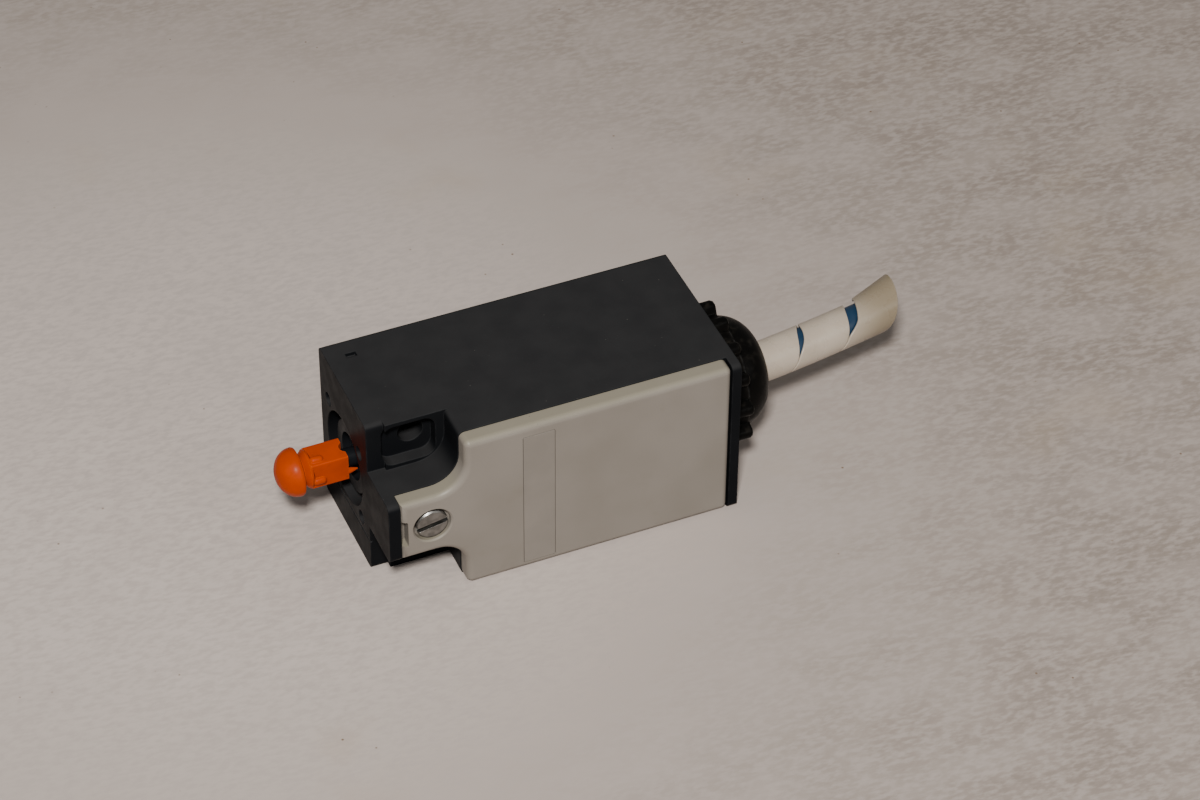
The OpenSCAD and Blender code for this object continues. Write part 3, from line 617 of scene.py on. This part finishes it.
def rounded_bar(start, end, half, radius):
    """Square bar along X with rounded long edges."""
    corners = [(1, 1, 0), (-1, 1, 90), (-1, -1, 180), (1, -1, 270)]
    outline = [p for u, v, turn in corners
               for p in arc((u * (half - radius), v * (half - radius)), radius, turn, turn + 90)]
    return loft([[Vector((x, start.y + u, start.z + v)) for u, v in outline] for x in (start.x, end.x)])


def capsule(start, end, radius):
    """Round-ended rod along X."""
    length = (end.x - start.x) / MM
    r = radius / MM
    nose = [(r * math.sin(math.radians(a)), -r * math.cos(math.radians(a))) for a in range(0, 91, 15)]
    tail = [(u, length - v) for u, v in reversed(nose)]
    return lathe(nose + tail, start, "x", 24)


# ---------- springs ----------

def coil(start_x, end_x, centre, mean_mm, wire_mm, turns):
    """Round-wire spring about X whose end turns lie flat."""
    wire, mean_r = wire_mm * MM, mean_mm / 2 * MM
    run = end_x - start_x - wire
    steps = 28 * turns
    points = []
    for i in range(steps + 1):
        turn = turns * i / steps
        lead = min(max((turn - 0.75) / (turns - 1.5), 0), 1)
        x = start_x + wire / 2 + run * (0.06 * turn / turns + 0.94 * lead)
        around = Vector((0, -math.cos(math.tau * turn), math.sin(math.tau * turn))) * mean_r
        points.append(Vector((x, centre.y, centre.z)) + around)
    return sweep(points, wire / 2)


def build_return_spring(material):
    lo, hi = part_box("return_spring")
    stem_lo, stem_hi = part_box("plunger_stem")
    centre = (stem_lo + stem_hi) / 2
    spring = solid("return_spring_coil", coil(lo.x, hi.x, centre, 7, 0.6, 6))
    dress(spring, None, "spring_steel", material, "return_spring", sharp_deg=60)
    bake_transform(spring)


def build_contact_spring(node, body, material):
    lo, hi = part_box(node)
    spring = solid(node + "_coil", coil(lo.x, hi.x, (lo + hi) / 2, 3.6, 0.4, 5))
    return dress(spring, body, "spring_steel", material, node, sharp_deg=60)


def build_no_contact_spring(material):
    """Contact spring with a mesh of its own; in the switch the slider gains on its bridge, which squeezes
    this spring towards the bridge.
    """
    spring = build_contact_spring("no_contact_spring", "no_contact", material)
    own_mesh(spring)


def build_plunger_seal(material):
    """Rubber diaphragm: its rim sits in the housing and its middle closes round the stem."""
    lo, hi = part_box("plunger_seal")
    centre = Vector((0, (lo.y + hi.y) / 2, (lo.z + hi.z) / 2))
    rim_r = (hi.z - lo.z) / 2 / MM
    near, far = lo.x / MM, hi.x / MM
    rim_l, stem_r, steps = 0.8, 1.6, 8
    outer_fold, inner_fold = rim_r - 1.1, rim_r - 1.4
    outer_hub, inner_hub = stem_r + 0.8, stem_r + 0.02
    rim_end = near + rim_l

    def cone(fold, hub):
        """Straight side of the diaphragm, from the rim to the stem."""
        shares = [k / steps for k in range(steps + 1)]
        return [(fold + (hub - fold) * s, rim_end + (far - rim_end) * s) for s in shares]

    rim = [(rim_r, near), (rim_r, rim_end)]
    inside = cone(inner_fold, inner_hub)[::-1]
    profile = rim + cone(outer_fold, outer_hub) + inside + [(inner_fold, near), rim[0]]
    seal = solid("plunger_seal_diaphragm", lathe(profile, centre, "x", 64))
    dress(seal, None, "seal_rubber", material, "plunger_seal")
    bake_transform(seal)


# ---------- cable entry ----------

SHEATH_LO, SHEATH_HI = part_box("cable_sheath")
SHEATH_R = (SHEATH_HI.z - SHEATH_LO.z) / 2
SHEATH_END = SHEATH_HI.x - 0.5 * MM
BEND_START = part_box("gland_nut")[1].x


def cable_axis(x):
    """Middle of the cable at x: straight out of the gland, then bending back."""
    share = max(0.0, (x - BEND_START) / (26 * MM))
    return Vector((x, (HOUSING_LO.y + HOUSING_HI.y) / 2 + 4.2 * MM * share ** 1.2, 0))


def around_cable(x, radius, angle_deg):
    """Point on the cable; the angle runs from the front over the top."""
    along = (cable_axis(x + MM) - cable_axis(x - MM)).normalized()
    over = along.cross(UP).normalized()
    rise = over.cross(along)
    angle = math.radians(angle_deg)
    return cable_axis(x) + (over * math.cos(angle) + rise * math.sin(angle)) * radius


def build_gland_nut(material):
    """Domed nut whose mouth is a little wider than the wrapped cable."""
    lo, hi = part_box("gland_nut")
    centre = Vector((hi.x, (lo.y + hi.y) / 2, (lo.z + hi.z) / 2))
    radius = (hi.z - lo.z) / 2 / MM
    length = (hi.x - lo.x) / MM
    round_r, seat_r, mouth_r = 6.1, 7.75, 4.2
    dome = arc((radius - round_r, -round_r + 0.1), round_r, 0, 78, 16)
    profile = [(seat_r, -length), (radius - 0.25, -length), (radius, -length + 0.25)] + dome
    profile += [(mouth_r + 0.2, 0), (mouth_r, -0.25), (mouth_r, -1.8), (seat_r, -2.6), (seat_r, -length)]
    nut = solid("gland_nut_dome", lathe(profile, centre, "x", 128))
    return dress(nut, "switch_body", "gland_plastic", material, "gland_nut")


def build_gland_body(material):
    """Threaded shank and a grip ring with an arc of rounded lobes on each side."""
    lo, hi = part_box("gland_body")
    centre = Vector((0, (lo.y + hi.y) / 2, (lo.z + hi.z) / 2))
    bore_r, shank_bore_r = 7.7, 6.5
    x0, x1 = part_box("gland_washer")[1].x, hi.x - 0.4 * MM
    rings = [lobed_ring(centre, x, grow) for x, grow in
             ((x0, -0.35), (x0 + 0.35 * MM, 0), (x1 - 0.6 * MM, 0), (x1 - 0.2 * MM, -0.2), (x1, -0.55))]
    inner = [lobed_ring(centre, x, 0, bore_r) for x in (x1, x0)]
    ring = solid("gland_grip_ring", loft([*rings, *inner, rings[0]], capped=False))
    dress(ring, "switch_body", "gland_plastic", material)
    pitch, crest_r, root_r = 1.5, 9.9, 9.1
    thread = []
    for k in range(int((x0 - lo.x) / MM / pitch)):
        x = lo.x / MM + k * pitch
        thread += [(root_r, x + 0.1), (crest_r, x + 0.65), (crest_r, x + 0.85), (root_r, x + 1.4)]
    inside = [(shank_bore_r, x0 / MM), (shank_bore_r, lo.x / MM)]
    shank = lathe(inside + thread + [(crest_r - 0.3, x0 / MM), (shank_bore_r, x0 / MM)], centre)
    neck_r, near, far = 9.0, x1 / MM - 0.1, hi.x / MM
    neck = lathe([(neck_r, near), (neck_r, far), (bore_r, far), (bore_r, near), (neck_r, near)], centre)
    return dress(solid("gland_shank", shank, neck), "switch_body", "gland_plastic", material, "gland_body")


def lobed_ring(centre, x, grow_mm, plain_mm=None):
    """Ring of points at x: lobes on a round core, or a plain circle of the given radius."""
    core, lobe_pitch, lobe_r = 11.4, 12.1, 1.2
    lobes = [side - 14 + 24.6 * k for side in (0, 180) for k in range(6)]
    ring = []
    for step in range(360):
        radius = core + grow_mm
        off = min(abs((step - lobe + 180) % 360 - 180) for lobe in lobes)
        across = lobe_pitch * math.sin(math.radians(off))
        if off < 30 and across < lobe_r + grow_mm:
            bulge = math.sqrt((lobe_r + grow_mm) ** 2 - across ** 2)
            radius = max(radius, lobe_pitch * math.cos(math.radians(off)) + bulge)
        radius = plain_mm or radius
        angle = math.radians(step)
        ring.append(centre + Vector((x, -radius * math.cos(angle) * MM, radius * math.sin(angle) * MM)))
    return ring


def build_sheath(material):
    """Sheath with an open cut end."""
    angles = [7.5 * k for k in range(48)]
    stations = [SHEATH_LO.x + (SHEATH_END - SHEATH_LO.x) * k / 60 for k in range(61)]
    rings = [[around_cable(x, SHEATH_R, a) for a in angles] for x in stations]
    for step_mm, inset_mm in ((0.15, 0.2), (0.15, 0.6), (-1.0, 0.65)):
        x, radius = SHEATH_END + step_mm * MM, SHEATH_R - inset_mm * MM
        rings.append([around_cable(x, radius, a) for a in angles])
    sheath = solid("cable_sheath_skin", loft(rings))
    return dress(sheath, "switch_body", "sheath_blue", material, "cable_sheath")


def build_cut_cores(looks):
    """Four insulated conductors that show in the cut end of the cable."""
    for name, angle in (("wire_brown", 45), ("wire_black", 135), ("wire_blue", 225), ("wire_grey", 315)):
        points = [around_cable(SHEATH_END - x * MM, 1.3 * MM, angle) for x in (2, 1, 0.1)]
        core = solid("cut_core_" + name[5:], sweep(points, 0.88 * MM, 24))
        dress(core, "switch_body", name, looks[name])
        tip = points[2] + (points[2] - points[1]) * 0.1
        copper = solid("cut_copper_" + name[5:], sweep([points[1], tip], 0.5 * MM, 16))
        dress(copper, "switch_body", "copper", looks["copper"])


WRAP_PITCH = 9.9 * MM
WRAP_SEAM = BEND_START + 6.1 * MM
WRAP_START = BEND_START - 3 * MM
WRAP_INNER_R = SHEATH_R + 0.08 * MM


def smooth(value, low, high):
    """Smooth step from 0 at low to 1 at high."""
    share = min(max((value - low) / (high - low), 0), 1)
    return share * share * (3 - 2 * share)


def bump_between(angle, start, peak, end):
    return smooth(angle, start, peak) * (1 - smooth(angle, peak, end))


def ribbon_edges(angle):
    """Left and right edge of the wrap's ribbon at a winding angle; 360 is where the first seam starts."""
    left = WRAP_SEAM + WRAP_PITCH * (angle / 360 - 1)
    left_shift = 0.55 * bump_between(angle, 370, 425, 500) + 1.4 * smooth(angle, 728, 775)
    right_gap = 0.22 + 0.4 * bump_between(angle, 5, 80, 150) + 0.5 * smooth(angle, 375, 455)
    return max(left + left_shift * MM, WRAP_START), left + WRAP_PITCH - right_gap * MM


def ribbon_point(x, angle, depth):
    """Point on the ribbon; its last turn stands off the cable over the top and widens to the end."""
    last_turn = smooth(angle, 600, 720)
    flare = last_turn * (0.25 * MM + 0.19 * max(x - WRAP_SEAM - 1.45 * WRAP_PITCH, 0))
    lift = flare * (0.5 + 0.5 * math.cos(math.radians(angle - 135)))
    return around_cable(x, WRAP_INNER_R + lift + depth, angle)


def build_wrap(material):
    """Flat ribbon wound round the cable, open along its seams."""
    start, end = -235, 880
    steps, across = 330, 9
    thickness = 0.42 * MM
    rings = []
    for i in range(steps + 1):
        angle = start + (end - start) * i / steps
        left, right = ribbon_edges(angle)
        right = max(right, left + 0.3 * MM)
        xs = [left + (right - left) * k / across for k in range(across + 1)]
        outer = [ribbon_point(x, angle, thickness) for x in xs]
        inner = [ribbon_point(x, angle, 0) for x in reversed(xs)]
        rings.append(outer + inner)
    wrap = solid("cable_wrap_ribbon", loft(rings))
    round_edges(wrap, 0.12)
    return dress(wrap, "switch_body", "wrap_white", material, "cable_wrap")


# ---------- floor, light, camera ----------

def build_floor():
    """Large sheet of paper under the switch."""
    size = 3.0
    middle = (CAD_BOUNDS[0] + CAD_BOUNDS[1]) / 2
    corners = [Vector((middle.x + u * size / 2, middle.y + v * size / 2, FLOOR_Z)) for u, v in
               ((-1, -1), (1, -1), (1, 1), (-1, 1))]
    floor = solid("paper_floor", (corners, [[0, 1, 2, 3]]))
    floor.data.materials.append(paper())


def area_light(name, offset, size, watts, tint=(1, 1, 1)):
    """Soft light at an offset from the housing, aimed at it."""
    target = (HOUSING_LO + HOUSING_HI) / 2
    data = bpy.data.lights.new(name, "AREA")
    data.shape = "RECTANGLE"
    data.size, data.size_y = size
    data.energy = watts
    data.color = tint
    lamp = bpy.data.objects.new(name, data)
    bpy.context.scene.collection.objects.link(lamp)
    lamp.location = target + Vector(offset)
    lamp.rotation_euler = (-Vector(offset)).to_track_quat("-Z", "Y").to_euler()


def build_light():
    """Soft key from the front left, weak fill from the right and a pale surrounding."""
    area_light("key", (-0.25, -0.525, 0.69), (0.10, 0.10), 10.5, (1.0, 0.975, 0.94))
    area_light("fill", (0.6, -0.6, 0.5), (0.6, 0.4), 1.1, (1.0, 0.98, 0.96))
    world = bpy.data.worlds.new("studio")
    world.use_nodes = True
    world.node_tree.nodes["Background"].inputs["Color"].default_value = (1.0, 0.975, 0.95, 1.0)
    world.node_tree.nodes["Background"].inputs["Strength"].default_value = 0.19
    bpy.context.scene.world = world


CAMERA_AIM_MM = (11.6, -1.8, 3.4)
CAMERA_DISTANCE = 0.6293
CAMERA_LENS_MM = 115.46
CAMERA_TURN_DEG = (-23.49, 41.93, 0.48)


def build_camera():
    """Long lens from the front left, looking down."""
    azimuth, elevation, roll = (math.radians(a) for a in CAMERA_TURN_DEG)
    back = Vector((math.sin(azimuth) * math.cos(elevation), -math.cos(azimuth) * math.cos(elevation),
                   math.sin(elevation)))
    target = (HOUSING_LO + HOUSING_HI) / 2 + Vector(CAMERA_AIM_MM) * MM
    data = bpy.data.cameras.new("camera")
    data.sensor_width = 36
    data.lens = CAMERA_LENS_MM
    camera = bpy.data.objects.new("camera", data)
    bpy.context.scene.collection.objects.link(camera)
    camera.location = target + back * CAMERA_DISTANCE
    aim = back.to_track_quat("Z", "Y").to_matrix()
    camera.rotation_euler = (aim @ Matrix.Rotation(roll, 3, "Z")).to_euler()
    bpy.context.scene.camera = camera


# ---------- assembly ----------

def make_looks():
    """One material for each of the record's slots that a piece uses."""
    return {
        "housing_plastic": housing_plastic(),
        "cover_plastic": cover_plastic(),
        "strip_plastic": plastic("strip plastic", (0.235, 0.210, 0.182), 0.45, wear=0.1),
        "plunger_orange": plunger_plastic(),
        "bush_plastic": plastic("bush plastic", (0.008, 0.009, 0.011), 0.4, wear=0.1, shine=0.08),
        "block_plastic": plastic("block plastic", (0.035, 0.033, 0.03), 0.5),
        "lid_plastic": plastic("lid plastic", (0.10, 0.10, 0.095), 0.45),
        "carrier_plastic": plastic("carrier plastic", (0.62, 0.58, 0.48), 0.4),
        "gland_plastic": gland_plastic(),
        "seal_rubber": rubber("seal rubber", (0.02, 0.02, 0.02)),
        "brass": metal("brass", (0.70, 0.50, 0.20), 0.32),
        "contact_brass": metal("contact brass", (0.76, 0.58, 0.30), 0.3),
        "contact_silver": metal("contact silver", (0.82, 0.81, 0.78), 0.25, tarnish=0.35),
        "copper": metal("copper", (0.78, 0.42, 0.26), 0.32, grain=(0.1, 1, 1)),
        "zinc_steel": metal("zinc steel", (0.30, 0.295, 0.28), 0.38, grain=(1, 1, 6), tarnish=0.4),
        "spring_steel": metal("spring steel", (0.62, 0.63, 0.66), 0.25),
        "sheath_blue": sheath_plastic(),
        "wrap_white": wrap_plastic(),
        "wire_brown": plastic("wire brown", (0.10, 0.035, 0.015), 0.42),
        "wire_black": plastic("wire black", (0.012, 0.012, 0.012), 0.42),
        "wire_blue": plastic("wire blue", (0.05, 0.20, 0.42), 0.42),
        "wire_grey": plastic("wire grey", (0.22, 0.22, 0.22), 0.42),
    }


def show_cad_nodes(looks):
    """CAD nodes that are shown as they are, by material slot and edge rounding in mm."""
    shown = {
        "housing_plastic": (["housing"], 0.5),
        "brass": (["screw_insert"], 0.08),
        "seal_rubber": (["cover_gasket", "gland_seal", "gland_washer"], 0.08),
        "bush_plastic": (["guide_bush", "screw_retainer", "plunger_stem"], 0.1),
        "block_plastic": (["contact_base"], 0.12),
        "lid_plastic": (["contact_lid"], 0.12),
        "carrier_plastic": (["contact_carrier"], 0.12),
        "contact_brass": (["terminal_11", "terminal_12", "terminal_23", "terminal_24",
                           "nc_bridge", "no_bridge"], 0.08),
        "contact_silver": (["fixed_contact_tips", "nc_bridge_tips", "no_bridge_tips"], 0.08),
        "zinc_steel": (["terminal_clamps", "terminal_screws", "contact_base_screws"], 0.1),
        "copper": (["wire_strands"], 0.05),
        "gland_plastic": (["gland_locknut"], 0.15),
        "strip_plastic": (["marking_strip"], 0.03),
        "wire_brown": (["wire_11"], 0.02),
        "wire_black": (["wire_12"], 0.02),
        "wire_blue": (["wire_23"], 0.02),
        "wire_grey": (["wire_24"], 0.02),
    }
    for slot, (nodes, rounding) in shown.items():
        for node in nodes:
            dress_node(node, looks[slot], rounding)


def main():
    looks = make_looks()
    show_cad_nodes(looks)
    build_front_cover(looks["cover_plastic"])
    build_cover_screw(looks["zinc_steel"])
    build_plunger(looks["plunger_orange"])
    build_return_spring(looks["spring_steel"])
    build_contact_spring("nc_contact_spring", "nc_contact", looks["spring_steel"])
    build_no_contact_spring(looks["spring_steel"])
    build_plunger_seal(looks["seal_rubber"])
    build_gland_nut(looks["gland_plastic"])
    build_gland_body(looks["gland_plastic"])
    build_sheath(looks["sheath_blue"])
    build_cut_cores(looks)
    build_wrap(looks["wrap_white"])
    build_floor()
    build_light()
    build_camera()


main()
